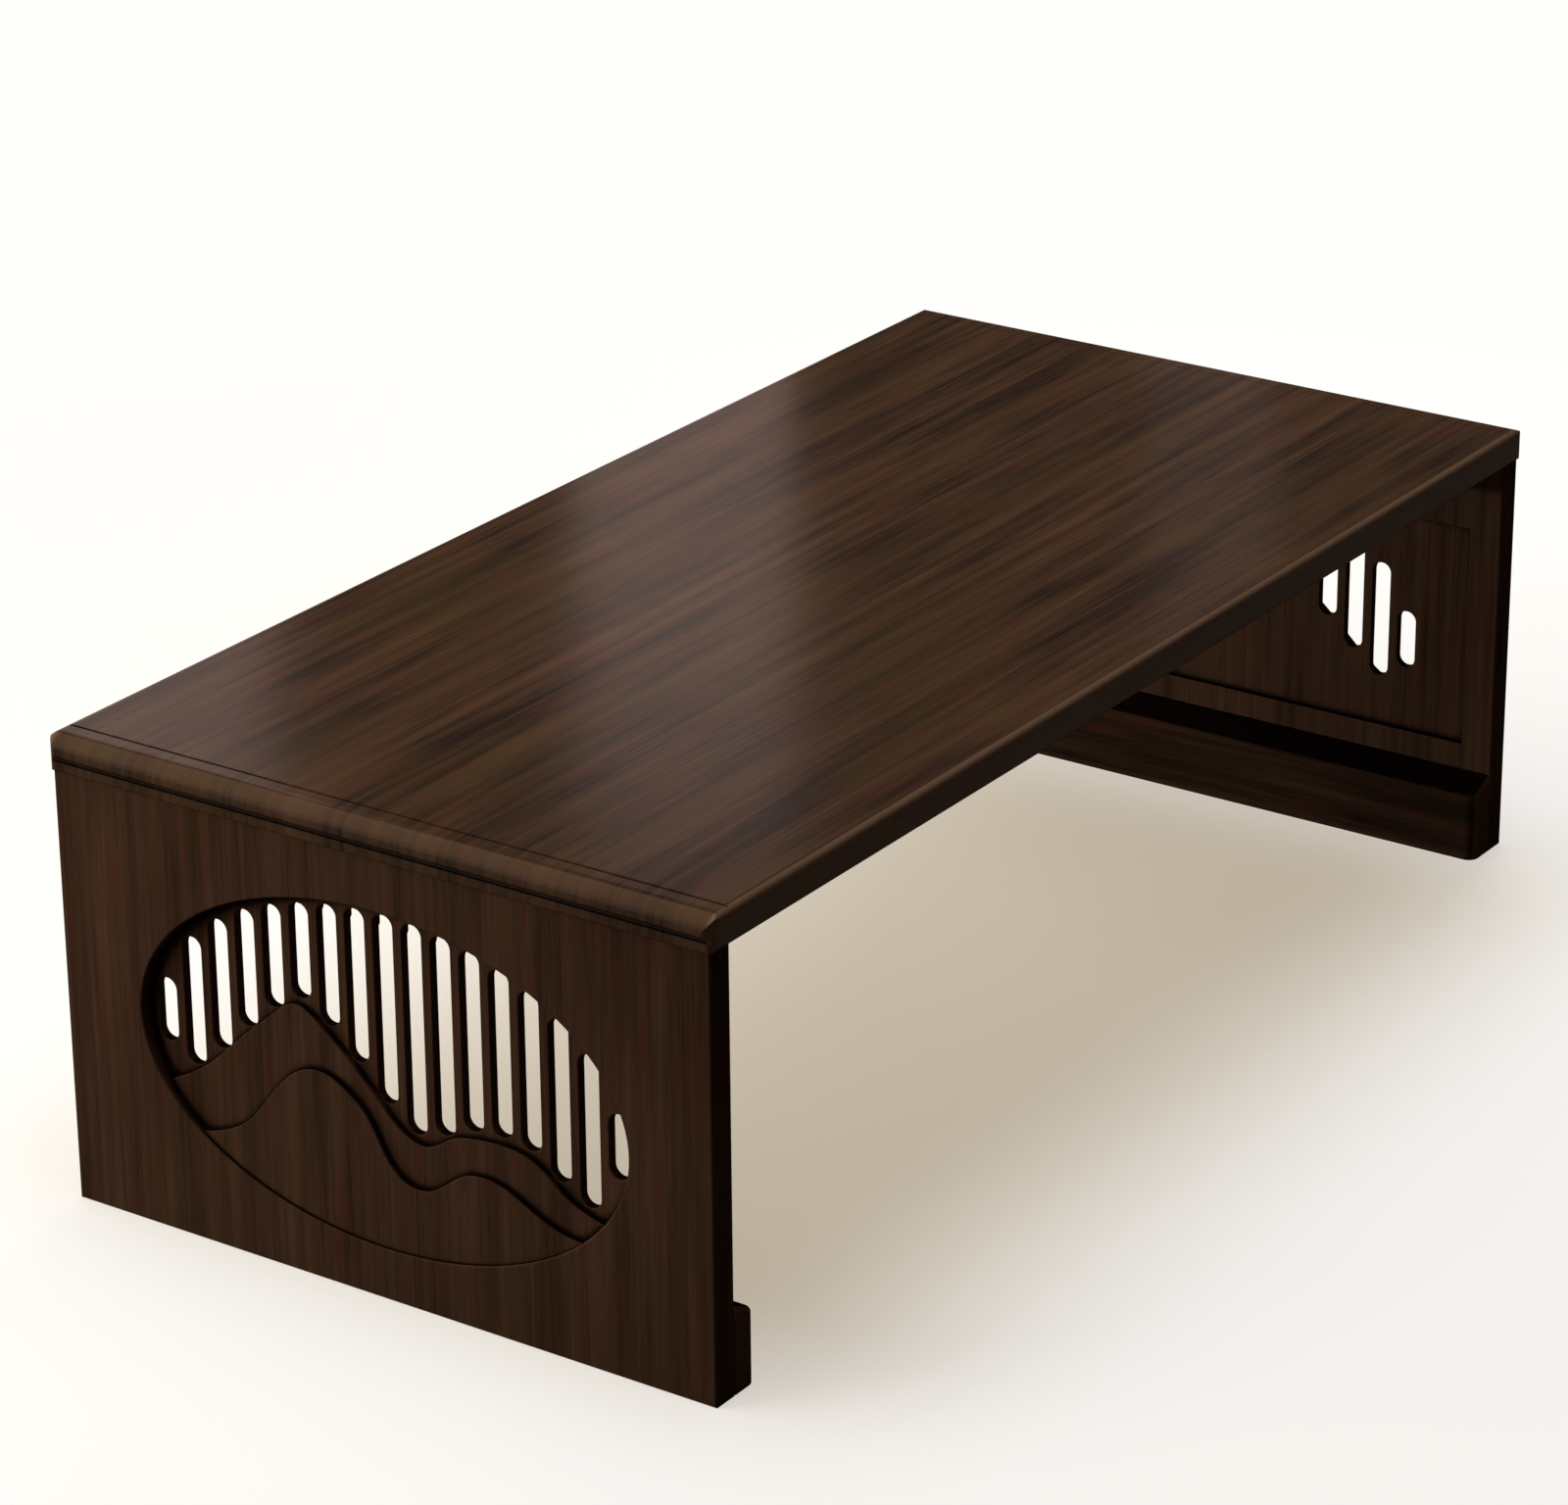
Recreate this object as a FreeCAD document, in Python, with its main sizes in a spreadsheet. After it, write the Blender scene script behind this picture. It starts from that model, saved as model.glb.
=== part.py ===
"""Folding coffee table: a bamboo top on two carved leg boards that fold in under it.

Millimetres, +Z up. The origin is on the floor under the middle of the top, and +X runs along the table.
The two ends are alike: what stands at the right end (+X) is turned half round the Z axis for the left end.
"""
import FreeCAD, Part
import math
import os
import Sketcher

V = FreeCAD.Vector
doc = FreeCAD.newDocument("folding_coffee_table")

# Driving dimensions
SIZES = [
    # whole table
    ("table_length", 1000), ("table_width", 500), ("table_height", 320),
    # tabletop panel
    ("top_thickness", 24), ("top_corner_radius", 9), ("side_roll_radius", 5), ("top_lower_bevel", 2.4),
    # moulding of its short ends: a lip, a groove and a roll from the underside up, and a quirk behind it
    ("lip_height", 6.4), ("lip_inset", 1.6), ("lip_round", 1), ("end_groove_width", 3.2),
    ("end_roll_width", 20), ("roll_drop", 0.4),
    ("quirk_depth", 1), ("quirk_width", 1.6),
    # leg board
    ("leg_inset", 3.2), ("leg_thickness", 20), ("leg_edge_round", 1.5),
    # carved oval, with its levels counted outwards from the pocket on the inner face
    ("oval_half_width", 186), ("oval_half_height", 113), ("oval_arris", 0.8),
    ("carving_arris", 0.5),
    ("pocket_depth", 4), ("slat_thickness", 6.2), ("hill_step", 3.8),
    ("pocket_side_border", 24), ("pocket_top_border", 52), ("pocket_bottom_border", 79),
    # slots between the slats
    ("slat_width", 7), ("slot_margin", 6), ("slot_ridge_gap", 3.5), ("slot_flare", 2.8),
    # foot rail and its dowels
    ("rail_height", 60), ("rail_front_height", 49), ("rail_depth", 22),
    ("rail_round", 4), ("rail_end_round", 8),
    ("dowel_diameter", 8), ("dowel_length", 27), ("dowel_in_rail", 14), ("dowel_bevel", 1),
    # hinge batten
    ("batten_width", 42), ("batten_end_inset", 42), ("batten_round", 4), ("batten_edge_round", 2),
    ("batten_gap", 0.5), ("fold_clearance", 6),
    # butt hinges
    ("hinge_length", 63), ("hinge_end_inset", 66), ("leaf_width", 24), ("leaf_thickness", 2),
    ("leaf_corner_radius", 3), ("knuckle_diameter", 6), ("knuckle_gap", 0.3),
    ("pin_diameter", 3), ("pin_head_diameter", 4.8), ("pin_head_height", 1.2),
    # wood screws
    ("hinge_screw_diameter", 3.5), ("hinge_screw_length", 15), ("hinge_screw_spacing", 22),
    ("batten_screw_diameter", 4.5), ("batten_screw_length", 38),
    # fits
    ("fit_clearance", 0.05), ("cut_overrun", 1),
]
SLOT_COUNT = 17
KNUCKLE_COUNT = 5
HINGE_SCREW_COUNT = 3
FULL_TURN = 360

# Proportions of small pieces
SCREW_HEAD_SHARE = 2.0         # head diameter, of the shank diameter
SCREW_POINT_SHARE = 1.4        # length of the point, of the shank diameter
RECESS_REACH_SHARE = 0.55      # reach of the driver recess, of the head radius
RECESS_WIDTH_SHARE = 0.16      # half width of its arms, of the head radius
RECESS_DEPTH_SHARE = 0.7       # depth of the recess, of the head height
PIN_CROWN_SHARE = 0.6          # radius of the flat on a pin head, of the head radius
LEAF_SCREW_SHARE = 0.58        # distance of the leaf screws from the pin, of the leaf width
BATTEN_SCREW_PLACE_SHARES = (-0.64, 0.0, 0.64)   # places of the batten screws, of a hinge's distance
DOWEL_PLACE_SHARES = (-0.62, 0.0, 0.62)          # places of the dowels, of half the rail's length
DOWEL_HEIGHT_SHARE = 0.5       # height of the dowels, of the rail's height at its back

# Ridges of the two hills from left to right, seen from outside: across by the oval's half width and
# up by its half height, from its middle
REAR_RIDGE_SHARES = (
    (-1.06, -0.49), (-0.87, -0.37), (-0.75, -0.245), (-0.60, -0.015), (-0.46, 0.185), (-0.36, 0.285),
    (-0.27, 0.215), (-0.03, -0.14), (0.085, -0.305), (0.165, -0.335), (0.27, -0.24), (0.36, -0.20),
    (0.49, -0.187), (0.60, -0.225), (0.73, -0.38), (0.82, -0.445), (1.06, -0.49),
)
FRONT_RIDGE_SHARES = (
    (-1.06, -0.645), (-0.70, -0.615), (-0.60, -0.535), (-0.40, -0.165), (-0.31, -0.07), (-0.235, -0.06),
    (-0.15, -0.12), (-0.065, -0.235), (0.022, -0.475), (0.105, -0.58), (0.18, -0.58), (0.265, -0.495),
    (0.33, -0.42), (0.40, -0.393), (0.49, -0.415), (0.60, -0.50), (0.70, -0.57), (0.80, -0.597),
    (1.06, -0.60),
)

# Places, as expressions on the sheet of sizes
ZERO = "0"
HALF_LENGTH = "(sizes.table_length / 2)"
HALF_WIDTH = "(sizes.table_width / 2)"
TOP_FACE = "sizes.table_height"
UNDERSIDE = "(sizes.table_height - sizes.top_thickness)"
LIP_FACE = f"({HALF_LENGTH} - sizes.lip_inset)"
GROOVE_LOW = f"({UNDERSIDE} + sizes.lip_height)"
GROOVE_HIGH = f"({GROOVE_LOW} + sizes.end_groove_width)"
ROLL_SIDE = f"({GROOVE_HIGH} + sizes.lip_inset)"
ROLL_TOP = f"({TOP_FACE} - sizes.roll_drop)"
ROLL_EDGE = f"({HALF_LENGTH} - sizes.end_roll_width)"
ROLL_CREST = f"({HALF_LENGTH} - ({ROLL_TOP} - {ROLL_SIDE}))"
QUIRK_EDGE = f"({ROLL_EDGE} - sizes.quirk_width)"
BEVEL_TOP = f"({UNDERSIDE} + sizes.top_lower_bevel)"
LEG_OUTER = f"({HALF_LENGTH} - sizes.leg_inset)"
LEG_INNER = f"({LEG_OUTER} - sizes.leg_thickness)"
LEG_HALF = f"({HALF_WIDTH} - sizes.leg_inset)"
OVAL_MIDDLE = f"({UNDERSIDE} / 2)"
SLAT_FACE = f"({LEG_INNER} + sizes.pocket_depth + sizes.slat_thickness)"
REAR_FACE = f"({SLAT_FACE} + sizes.hill_step)"
FRONT_FACE = f"({REAR_FACE} + sizes.hill_step)"
RIM_DEPTH = "(sizes.oval_arris + sizes.cut_overrun)"
POCKET_HALF = f"({LEG_HALF} - sizes.pocket_side_border)"
POCKET_HEIGHT = f"({UNDERSIDE} - sizes.pocket_top_border - sizes.pocket_bottom_border)"
SLOT_PITCH = f"((2 * (sizes.oval_half_width - sizes.slot_margin) + sizes.slat_width) / {SLOT_COUNT})"
SLOT_RADIUS = f"(({SLOT_PITCH} - sizes.slat_width) / 2)"
RAIL_INNER = f"({LEG_INNER} - sizes.rail_depth)"
PIN_RADIUS = "(sizes.pin_diameter / 2)"
KNUCKLE_RADIUS = "(sizes.knuckle_diameter / 2)"
HINGE_SEAT = f"({KNUCKLE_RADIUS} + sizes.knuckle_gap)"
LEAF_FACE = f"({HINGE_SEAT} - sizes.leaf_thickness)"
BATTEN_HEIGHT = f"(sizes.rail_depth + sizes.fold_clearance - 2 * {HINGE_SEAT})"
BATTEN_BOTTOM = f"({UNDERSIDE} - {BATTEN_HEIGHT})"
BATTEN_OUTER = f"({LEG_INNER} - sizes.batten_gap)"
BATTEN_INNER = f"({BATTEN_OUTER} - sizes.batten_width)"
BATTEN_HALF = f"({LEG_HALF} - sizes.batten_end_inset)"
HINGE_X = f"({LEG_INNER} - {HINGE_SEAT})"
HINGE_Z = f"({BATTEN_BOTTOM} - {HINGE_SEAT})"
HINGE_Y = f"({BATTEN_HALF} - sizes.hinge_end_inset)"
HINGE_HALF = "(sizes.hinge_length / 2)"
SEGMENT_PITCH = f"(sizes.hinge_length / {KNUCKLE_COUNT})"
SEGMENT_LENGTH = f"({SEGMENT_PITCH} - sizes.knuckle_gap)"

# Turns of a piece from the way that it is drawn
AS_DRAWN = FreeCAD.Rotation()
ALONG_X = FreeCAD.Rotation(V(0, 1, 0), 90)
ALONG_Y = FreeCAD.Rotation(V(1, 0, 0), -90)
FACING_OUT = FreeCAD.Rotation(V(1, 1, 1), 120)
HALF_ROUND = FreeCAD.Rotation(V(0, 0, 1), 180)
ON_THE_LEG = FreeCAD.Rotation(V(1, 0, 1), 180)
ENDS = {"right": AS_DRAWN, "left": HALF_ROUND}
HINGE_SIDES = {"front": -1, "rear": 1}
FIXED_KNUCKLES = range(0, KNUCKLE_COUNT, 2)
SWING_KNUCKLES = range(1, KNUCKLE_COUNT, 2)

sheet = doc.addObject("Spreadsheet::Sheet", "sizes")
for row, (alias, amount) in enumerate(SIZES, start=1):
    sheet.set(f"A{row}", alias)
    sheet.set(f"B{row}", str(amount))
    sheet.setAlias(f"B{row}", alias)
doc.recompute()
nodes = []


def size(expression):
    """The number that an expression on the sheet stands for."""
    return float(sheet.evalExpression(expression))


def seat(at=(ZERO, ZERO, ZERO), turn=AS_DRAWN):
    """A placement whose position is given in expressions."""
    return FreeCAD.Placement(V(*map(size, at)), turn)


def place(thing, at=(ZERO, ZERO, ZERO), turn=AS_DRAWN):
    """Turn a thing and bind its position to the sheet."""
    thing.Placement = seat(at, turn)
    for letter, expression in zip("xyz", at):
        if expression != ZERO:
            thing.setExpression(f"Placement.Base.{letter}", expression)
    return thing


def primitive(kind, name, at, turn=AS_DRAWN, **amounts):
    """A basic shape with its sizes and its position bound to the sheet."""
    thing = doc.addObject(kind, name)
    for prop, expression in amounts.items():
        thing.setExpression(prop, expression)
    return place(thing, at, turn)


def combine(kind, name, things):
    """Several things as one: Part::MultiFuse, Part::MultiCommon or Part::Compound."""
    whole = doc.addObject(kind, name)
    setattr(whole, "Links" if kind == "Part::Compound" else "Shapes", things)
    return whole


def cut(name, base, *tools):
    """A base with tools taken away one after the other."""
    for number, tool in enumerate(tools, start=1):
        rest = doc.addObject("Part::Cut", name if tool is tools[-1] else f"{name}_cut_{number}")
        rest.Base = base
        rest.Tool = tool
        base = rest
    return base


def fixed_shape(name, shape):
    """A thing whose shape is worked out from the sheet's sizes."""
    thing = doc.addObject("Part::Feature", name)
    thing.Shape = shape
    return thing


def copies(name, master, seats):
    """A group of separate copies of one piece."""
    group = []
    for spot in seats:
        piece = master.Shape.copy()
        piece.Placement = spot
        group.append(piece)
    return fixed_shape(name, Part.makeCompound(group))


def node(thing, label, turn=AS_DRAWN):
    """Name a finished sub-part and turn it to its end of the table."""
    thing.Label = label
    thing.Placement = FreeCAD.Placement(V(), turn)
    nodes.append(thing)


def rectangle(low_x, high_x, low_y, high_y):
    """The four corners of an upright rectangle."""
    return [(low_x, low_y), (high_x, low_y), (high_x, high_y), (low_x, high_y)]


def outline(body, role, name, corners):
    """A closed sketch of straight sides on one of a body's planes, each corner bound to the sheet."""
    sketch = body.newObject("Sketcher::SketchObject", name)
    plane = next(origin for origin in body.Origin.OriginFeatures if origin.Role == role)
    sketch.AttachmentSupport = [(plane, "")]
    sketch.MapMode = "FlatFace"
    points = [V(size(x), size(y), 0) for x, y in corners]
    for start, stop in zip(points, points[1:] + points[:1]):
        sketch.addGeometry(Part.LineSegment(start, stop), False)
    for side, corner in enumerate(corners):
        following = (side + 1) % len(corners)
        sketch.addConstraint(Sketcher.Constraint("Coincident", side, 2, following, 1))
        for kind, axis, expression in zip(("DistanceX", "DistanceY"), (-2, -1), corner):
            if expression == ZERO:
                sketch.addConstraint(Sketcher.Constraint("PointOnObject", side, 1, axis))
                continue
            rule = sketch.addConstraint(Sketcher.Constraint(kind, -1, 1, side, 1, size(expression)))
            sketch.renameConstraint(rule, f"{kind}{side}")
            sketch.setExpression(f"Constraints.{kind}{side}", expression)
    return sketch


def slab(name, role, corners, thickness):
    """A body padded from an outline, to both sides of its plane."""
    body = doc.addObject("PartDesign::Body", name)
    sketch = outline(body, role, f"{name}_outline", corners)
    pad = body.newObject("PartDesign::Pad", f"{name}_pad")
    pad.Profile = sketch
    pad.SideType = "Symmetric"
    pad.setExpression("Length", thickness)
    doc.recompute()
    return body


def turned(name, corners):
    """A body turned on its Z axis from half an outline."""
    body = doc.addObject("PartDesign::Body", name)
    sketch = outline(body, "XZ_Plane", f"{name}_outline", corners)
    spin = body.newObject("PartDesign::Revolution", f"{name}_spin")
    spin.Profile = sketch
    spin.ReferenceAxis = (sketch, ["V_Axis"])
    spin.Angle = FULL_TURN
    doc.recompute()
    return body


def round_over(body, radius, *spots):
    """Round the edges of a body whose middles lie at given spots, each some of x, y and z."""
    tip = body.Tip
    wanted = []
    for spot in spots:
        for number, edge in enumerate(tip.Shape.Edges, start=1):
            middle = edge.BoundBox.Center
            slack = edge.Tolerance
            if all(abs(getattr(middle, letter) - size(spot[letter])) <= slack for letter in spot):
                wanted.append(f"Edge{number}")
    fillet = body.newObject("PartDesign::Fillet", f"{body.Name}_round")
    fillet.Base = (tip, wanted)
    fillet.setExpression("Radius", radius)
    doc.recompute()


def mirrored_y(half, **spot):
    """The same spot at both sides of the table's middle line."""
    return [dict(spot, y=half), dict(spot, y=f"-{half}")]


def middle_row(count, pitch):
    """Places along Y of a row that is centred on the middle line."""
    return [f"({index - (count - 1) / 2} * {pitch})" for index in range(count)]


# Screws and dowels, with the holes that they fit
def wood_screw(name, diameter, length, slack=ZERO):
    """A countersunk screw that points up from its head's flat face, or with some slack its hole."""
    shank = f"({diameter} / 2 + {slack})"
    head = f"({SCREW_HEAD_SHARE} * {diameter} / 2 + {slack})"
    neck = f"({head} - {shank})"
    shoulder = f"({length} + {slack} - {SCREW_POINT_SHARE} * {diameter})"
    tip = f"({length} + {slack})"
    return turned(name, [(ZERO, ZERO), (head, ZERO), (shank, neck), (shank, shoulder), (ZERO, tip)])


def driver_recess(screw, diameter):
    """Sink a cross recess into a screw's head."""
    head = f"({SCREW_HEAD_SHARE} * {diameter} / 2)"
    reach = f"({RECESS_REACH_SHARE} * {head})"
    arm = f"({RECESS_WIDTH_SHARE} * {head})"
    corners = [
        (reach, f"-{arm}"), (reach, arm), (arm, arm), (arm, reach), (f"-{arm}", reach), (f"-{arm}", arm),
        (f"-{reach}", arm), (f"-{reach}", f"-{arm}"), (f"-{arm}", f"-{arm}"), (f"-{arm}", f"-{reach}"),
        (arm, f"-{reach}"), (arm, f"-{arm}"),
    ]
    sketch = outline(screw, "XY_Plane", f"{screw.Name}_cross", corners)
    recess = screw.newObject("PartDesign::Pocket", f"{screw.Name}_recess")
    recess.Profile = sketch
    recess.Reversed = True
    recess.setExpression("Length", f"{RECESS_DEPTH_SHARE} * ({head} - {diameter} / 2)")
    doc.recompute()
    return screw


def dowel(name, slack=ZERO):
    """A wooden peg with bevelled ends that runs up from its lower end, or with some slack its hole."""
    radius = f"(sizes.dowel_diameter / 2 + {slack})"
    tip = f"({radius} - sizes.dowel_bevel)"
    low = f"(sizes.dowel_bevel - {slack})"
    high = f"(sizes.dowel_length - sizes.dowel_bevel + {slack})"
    end = f"(sizes.dowel_length + {slack})"
    start = ZERO if slack == ZERO else f"-{slack}"
    return turned(name, [(ZERO, start), (tip, start), (radius, low), (radius, high), (tip, end), (ZERO, end)])


HINGE_SCREW = ("sizes.hinge_screw_diameter", "sizes.hinge_screw_length")
BATTEN_SCREW = ("sizes.batten_screw_diameter", "sizes.batten_screw_length")
SLACK = "sizes.fit_clearance"
hinge_screw = driver_recess(wood_screw("hinge_screw", *HINGE_SCREW), HINGE_SCREW[0])
hinge_screw_hole = wood_screw("hinge_screw_hole", *HINGE_SCREW, SLACK)
batten_screw = driver_recess(wood_screw("batten_screw", *BATTEN_SCREW), BATTEN_SCREW[0])
batten_screw_hole = wood_screw("batten_screw_hole", *BATTEN_SCREW, SLACK)
rail_dowel = dowel("rail_dowel")
rail_dowel_hole = dowel("rail_dowel_hole", SLACK)

LEAF_SCREW_SEATS = [
    seat((f"(-{LEAF_SCREW_SHARE} * sizes.leaf_width)", y, LEAF_FACE))
    for y in middle_row(HINGE_SCREW_COUNT, "sizes.hinge_screw_spacing")
]
HINGE_PLACES = {side: (HINGE_X, f"({sign} * {HINGE_Y})", HINGE_Z) for side, sign in HINGE_SIDES.items()}
BATTEN_SCREW_SEATS = [
    seat((f"(({BATTEN_INNER} + {BATTEN_OUTER}) / 2)", f"({share} * {HINGE_Y})", BATTEN_BOTTOM))
    for share in BATTEN_SCREW_PLACE_SHARES
]
DOWEL_SEATS = [
    seat((f"({LEG_INNER} - sizes.dowel_in_rail)", f"({share} * {LEG_HALF})",
          f"({DOWEL_HEIGHT_SHARE} * sizes.rail_height)"), ALONG_X)
    for share in DOWEL_PLACE_SHARES
]


def hinge_screw_seats(turn):
    """Seats of the screws of both hinges at one end, through the leaves that lie in one turn."""
    return [seat(at, turn).multiply(spot) for at in HINGE_PLACES.values() for spot in LEAF_SCREW_SEATS]


# Tabletop panel
def end_moulding():
    """The right end's profile from the underside up: lip, groove, roll, shoulder and quirk."""
    def at(x, z):
        return V(size(x), -size(HALF_WIDTH), size(z))

    def quarter(start, centre, stop):
        return Part.Arc(start, centre + ((start - centre) + (stop - centre)) / math.sqrt(2), stop)

    lip_inner = f"({LIP_FACE} - sizes.lip_round)"
    lip_top = f"({UNDERSIDE} + sizes.lip_round)"
    groove_low = at(LIP_FACE, GROOVE_LOW)
    groove_back = at(f"{LIP_FACE} - sizes.end_groove_width / 2", f"({GROOVE_LOW} + {GROOVE_HIGH}) / 2")
    groove_high = at(LIP_FACE, GROOVE_HIGH)
    roll_side = at(HALF_LENGTH, ROLL_SIDE)
    crest = at(ROLL_CREST, ROLL_TOP)
    shoulder = at(ROLL_EDGE, ROLL_TOP)
    quirk = at(f"({ROLL_EDGE} + {QUIRK_EDGE}) / 2", f"({TOP_FACE} - sizes.quirk_depth)")
    sides = [
        quarter(at(lip_inner, UNDERSIDE), at(lip_inner, lip_top), at(LIP_FACE, lip_top)),
        Part.LineSegment(at(LIP_FACE, lip_top), groove_low),
        Part.Arc(groove_low, groove_back, groove_high),
        quarter(groove_high, at(LIP_FACE, ROLL_SIDE), roll_side),
        quarter(roll_side, at(ROLL_CREST, ROLL_SIDE), crest),
        Part.LineSegment(crest, shoulder),
        Part.LineSegment(shoulder, quirk),
        Part.LineSegment(quirk, at(QUIRK_EDGE, TOP_FACE)),
    ]
    return Part.Wire([side.toShape() for side in sides])


def tabletop_panel():
    """The board: its lengthwise, crosswise and plan outlines together, drilled for the batten screws."""
    right = end_moulding()
    left = right.mirror(V(), V(1, 0, 0))
    faces = [Part.LineSegment(right.OrderedVertexes[tip].Point, left.OrderedVertexes[tip].Point).toShape()
             for tip in (0, -1)]
    profile = Part.Wire(Part.__sortEdges__([*right.Edges, *left.Edges, *faces]))
    along = fixed_shape("top_along", Part.Face(profile).extrude(V(0, size("sizes.table_width"), 0)))
    across = slab("top_across", "YZ_Plane", [
        (f"(sizes.top_lower_bevel - {HALF_WIDTH})", UNDERSIDE),
        (f"({HALF_WIDTH} - sizes.top_lower_bevel)", UNDERSIDE),
        (HALF_WIDTH, BEVEL_TOP), (HALF_WIDTH, TOP_FACE), (f"-{HALF_WIDTH}", TOP_FACE),
        (f"-{HALF_WIDTH}", BEVEL_TOP),
    ], "sizes.table_length")
    round_over(across, "sizes.side_roll_radius", *mirrored_y(HALF_WIDTH, z=TOP_FACE))
    edges = rectangle(f"-{HALF_LENGTH}", HALF_LENGTH, f"-{HALF_WIDTH}", HALF_WIDTH)
    plan = slab("top_plan", "XY_Plane", edges, f"2 * {TOP_FACE}")
    round_over(plan, "sizes.top_corner_radius", *mirrored_y(HALF_WIDTH, x=HALF_LENGTH),
               *mirrored_y(HALF_WIDTH, x=f"-{HALF_LENGTH}"))
    blank = combine("Part::MultiCommon", "top_blank", [along, across, plan])
    holes = []
    for end, turn in ENDS.items():
        half = copies(f"top_holes_{end}", batten_screw_hole, BATTEN_SCREW_SEATS)
        holes.append(place(half, turn=turn))
    node(cut("top_drilled", blank, *holes), "tabletop_panel")


# Leg board
def ridge_line(shares, level):
    """The smooth line of a ridge, at a level of the carving."""
    middle = size(OVAL_MIDDLE)
    half_width = size("sizes.oval_half_width")
    half_height = size("sizes.oval_half_height")
    curve = Part.BSplineCurve()
    curve.interpolate([V(level, across * half_width, middle + up * half_height) for across, up in shares])
    return curve


def hill(name, shares, face):
    """The wood below a ridge, from the board's inner face out to a level of the carving, its edge eased."""
    inner = size(LEG_INNER)
    arris = size("sizes.carving_arris")
    depth = size(face) - arris - inner
    ridge = ridge_line(shares, inner)
    foot_right = V(inner, ridge.EndPoint.y, 0)
    foot_left = V(inner, ridge.StartPoint.y, 0)
    corners = [ridge.EndPoint, foot_right, foot_left, ridge.StartPoint]
    sides = [Part.LineSegment(*pair).toShape() for pair in zip(corners, corners[1:])]
    profile = Part.Face(Part.Wire([ridge.toShape(), *sides]))
    crest = profile.translated(V(depth, 0, 0)).extrude(V(arris, 0, -arris))
    return fixed_shape(name, profile.extrude(V(depth, 0, 0)).fuse(crest))


def oval(name, level, grow):
    """The carved oval's outline at a level, grown all round."""
    return primitive("Part::Ellipse", name, (level, ZERO, OVAL_MIDDLE), FACING_OUT,
                     MajorRadius=f"sizes.oval_half_width + {grow}",
                     MinorRadius=f"sizes.oval_half_height + {grow}")


def relief(name):
    """What is carved out of the outer face: an oval well with a bevelled rim, less the two hills."""
    well = doc.addObject("Part::Extrusion", f"{name}_well")
    well.Base = oval(f"{name}_floor", SLAT_FACE, ZERO)
    well.DirMode = "Custom"
    well.Dir = V(1, 0, 0)
    well.setExpression("LengthFwd", f"{LEG_OUTER} + sizes.cut_overrun - {SLAT_FACE}")
    well.Solid = True
    rim = doc.addObject("Part::Loft", f"{name}_rim")
    rim.Sections = [
        oval(f"{name}_rim_low", f"({LEG_OUTER} - {RIM_DEPTH})", "-sizes.cut_overrun"),
        oval(f"{name}_rim_high", f"({LEG_OUTER} + sizes.cut_overrun)", RIM_DEPTH),
    ]
    rim.Ruled = True
    rim.Solid = True
    rear = hill(f"{name}_rear_hill", REAR_RIDGE_SHARES, REAR_FACE)
    front = hill(f"{name}_front_hill", FRONT_RIDGE_SHARES, FRONT_FACE)
    return cut(name, combine("Part::MultiFuse", f"{name}_hollow", [well, rim]), rear, front)


def slot_outline(level, grow, across, low, high):
    """A slot's outline at a level, with round ends, grown all round."""
    level, grow = size(level), size(grow)
    radius = size(SLOT_RADIUS)
    left, right = across - radius - grow, across + radius + grow
    bottom, top = low + radius, high - radius
    sides = [
        Part.LineSegment(V(level, left, bottom), V(level, left, top)),
        Part.Arc(V(level, left, top), V(level, across, high + grow), V(level, right, top)),
        Part.LineSegment(V(level, right, top), V(level, right, bottom)),
        Part.Arc(V(level, right, bottom), V(level, across, low - grow), V(level, left, bottom)),
    ]
    return Part.Wire([side.toShape() for side in sides])


def slot(across, low, high):
    """One slot between two slats: flared behind, straight through the slats and eased in front."""
    outlines = [
        (f"{LEG_INNER} - sizes.cut_overrun", "sizes.slot_flare"),
        (f"{LEG_INNER} + sizes.pocket_depth", ZERO),
        (f"{SLAT_FACE} - sizes.carving_arris", ZERO),
        (f"{SLAT_FACE} + sizes.cut_overrun", "sizes.carving_arris + sizes.cut_overrun"),
    ]
    return Part.makeLoft([slot_outline(*rim, across, low, high) for rim in outlines], True, True)


def slots(name):
    """All slots: their tops follow the oval at a margin, their bottoms the rear hill's ridge."""
    middle = size(OVAL_MIDDLE)
    margin = size("sizes.slot_margin")
    reach = size("sizes.oval_half_width") - margin
    rise = size("sizes.oval_half_height") - margin
    plane = size(LEG_INNER)
    ridge = ridge_line(REAR_RIDGE_SHARES, plane)
    shapes = []
    for expression in middle_row(SLOT_COUNT, SLOT_PITCH):
        across = size(expression)
        plumb = Part.LineSegment(V(plane, across, 0), V(plane, across, size(UNDERSIDE)))
        ridge_height = ridge.intersectCC(plumb)[0].Z
        half_chord = rise * math.sqrt(1 - ((abs(across) + size(SLOT_RADIUS) / 2) / reach) ** 2)
        low = max(ridge_height + size("sizes.slot_ridge_gap"), middle - half_chord)
        shapes.append(slot(across, low, middle + half_chord))
    return fixed_shape(name, Part.makeCompound(shapes))


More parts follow.
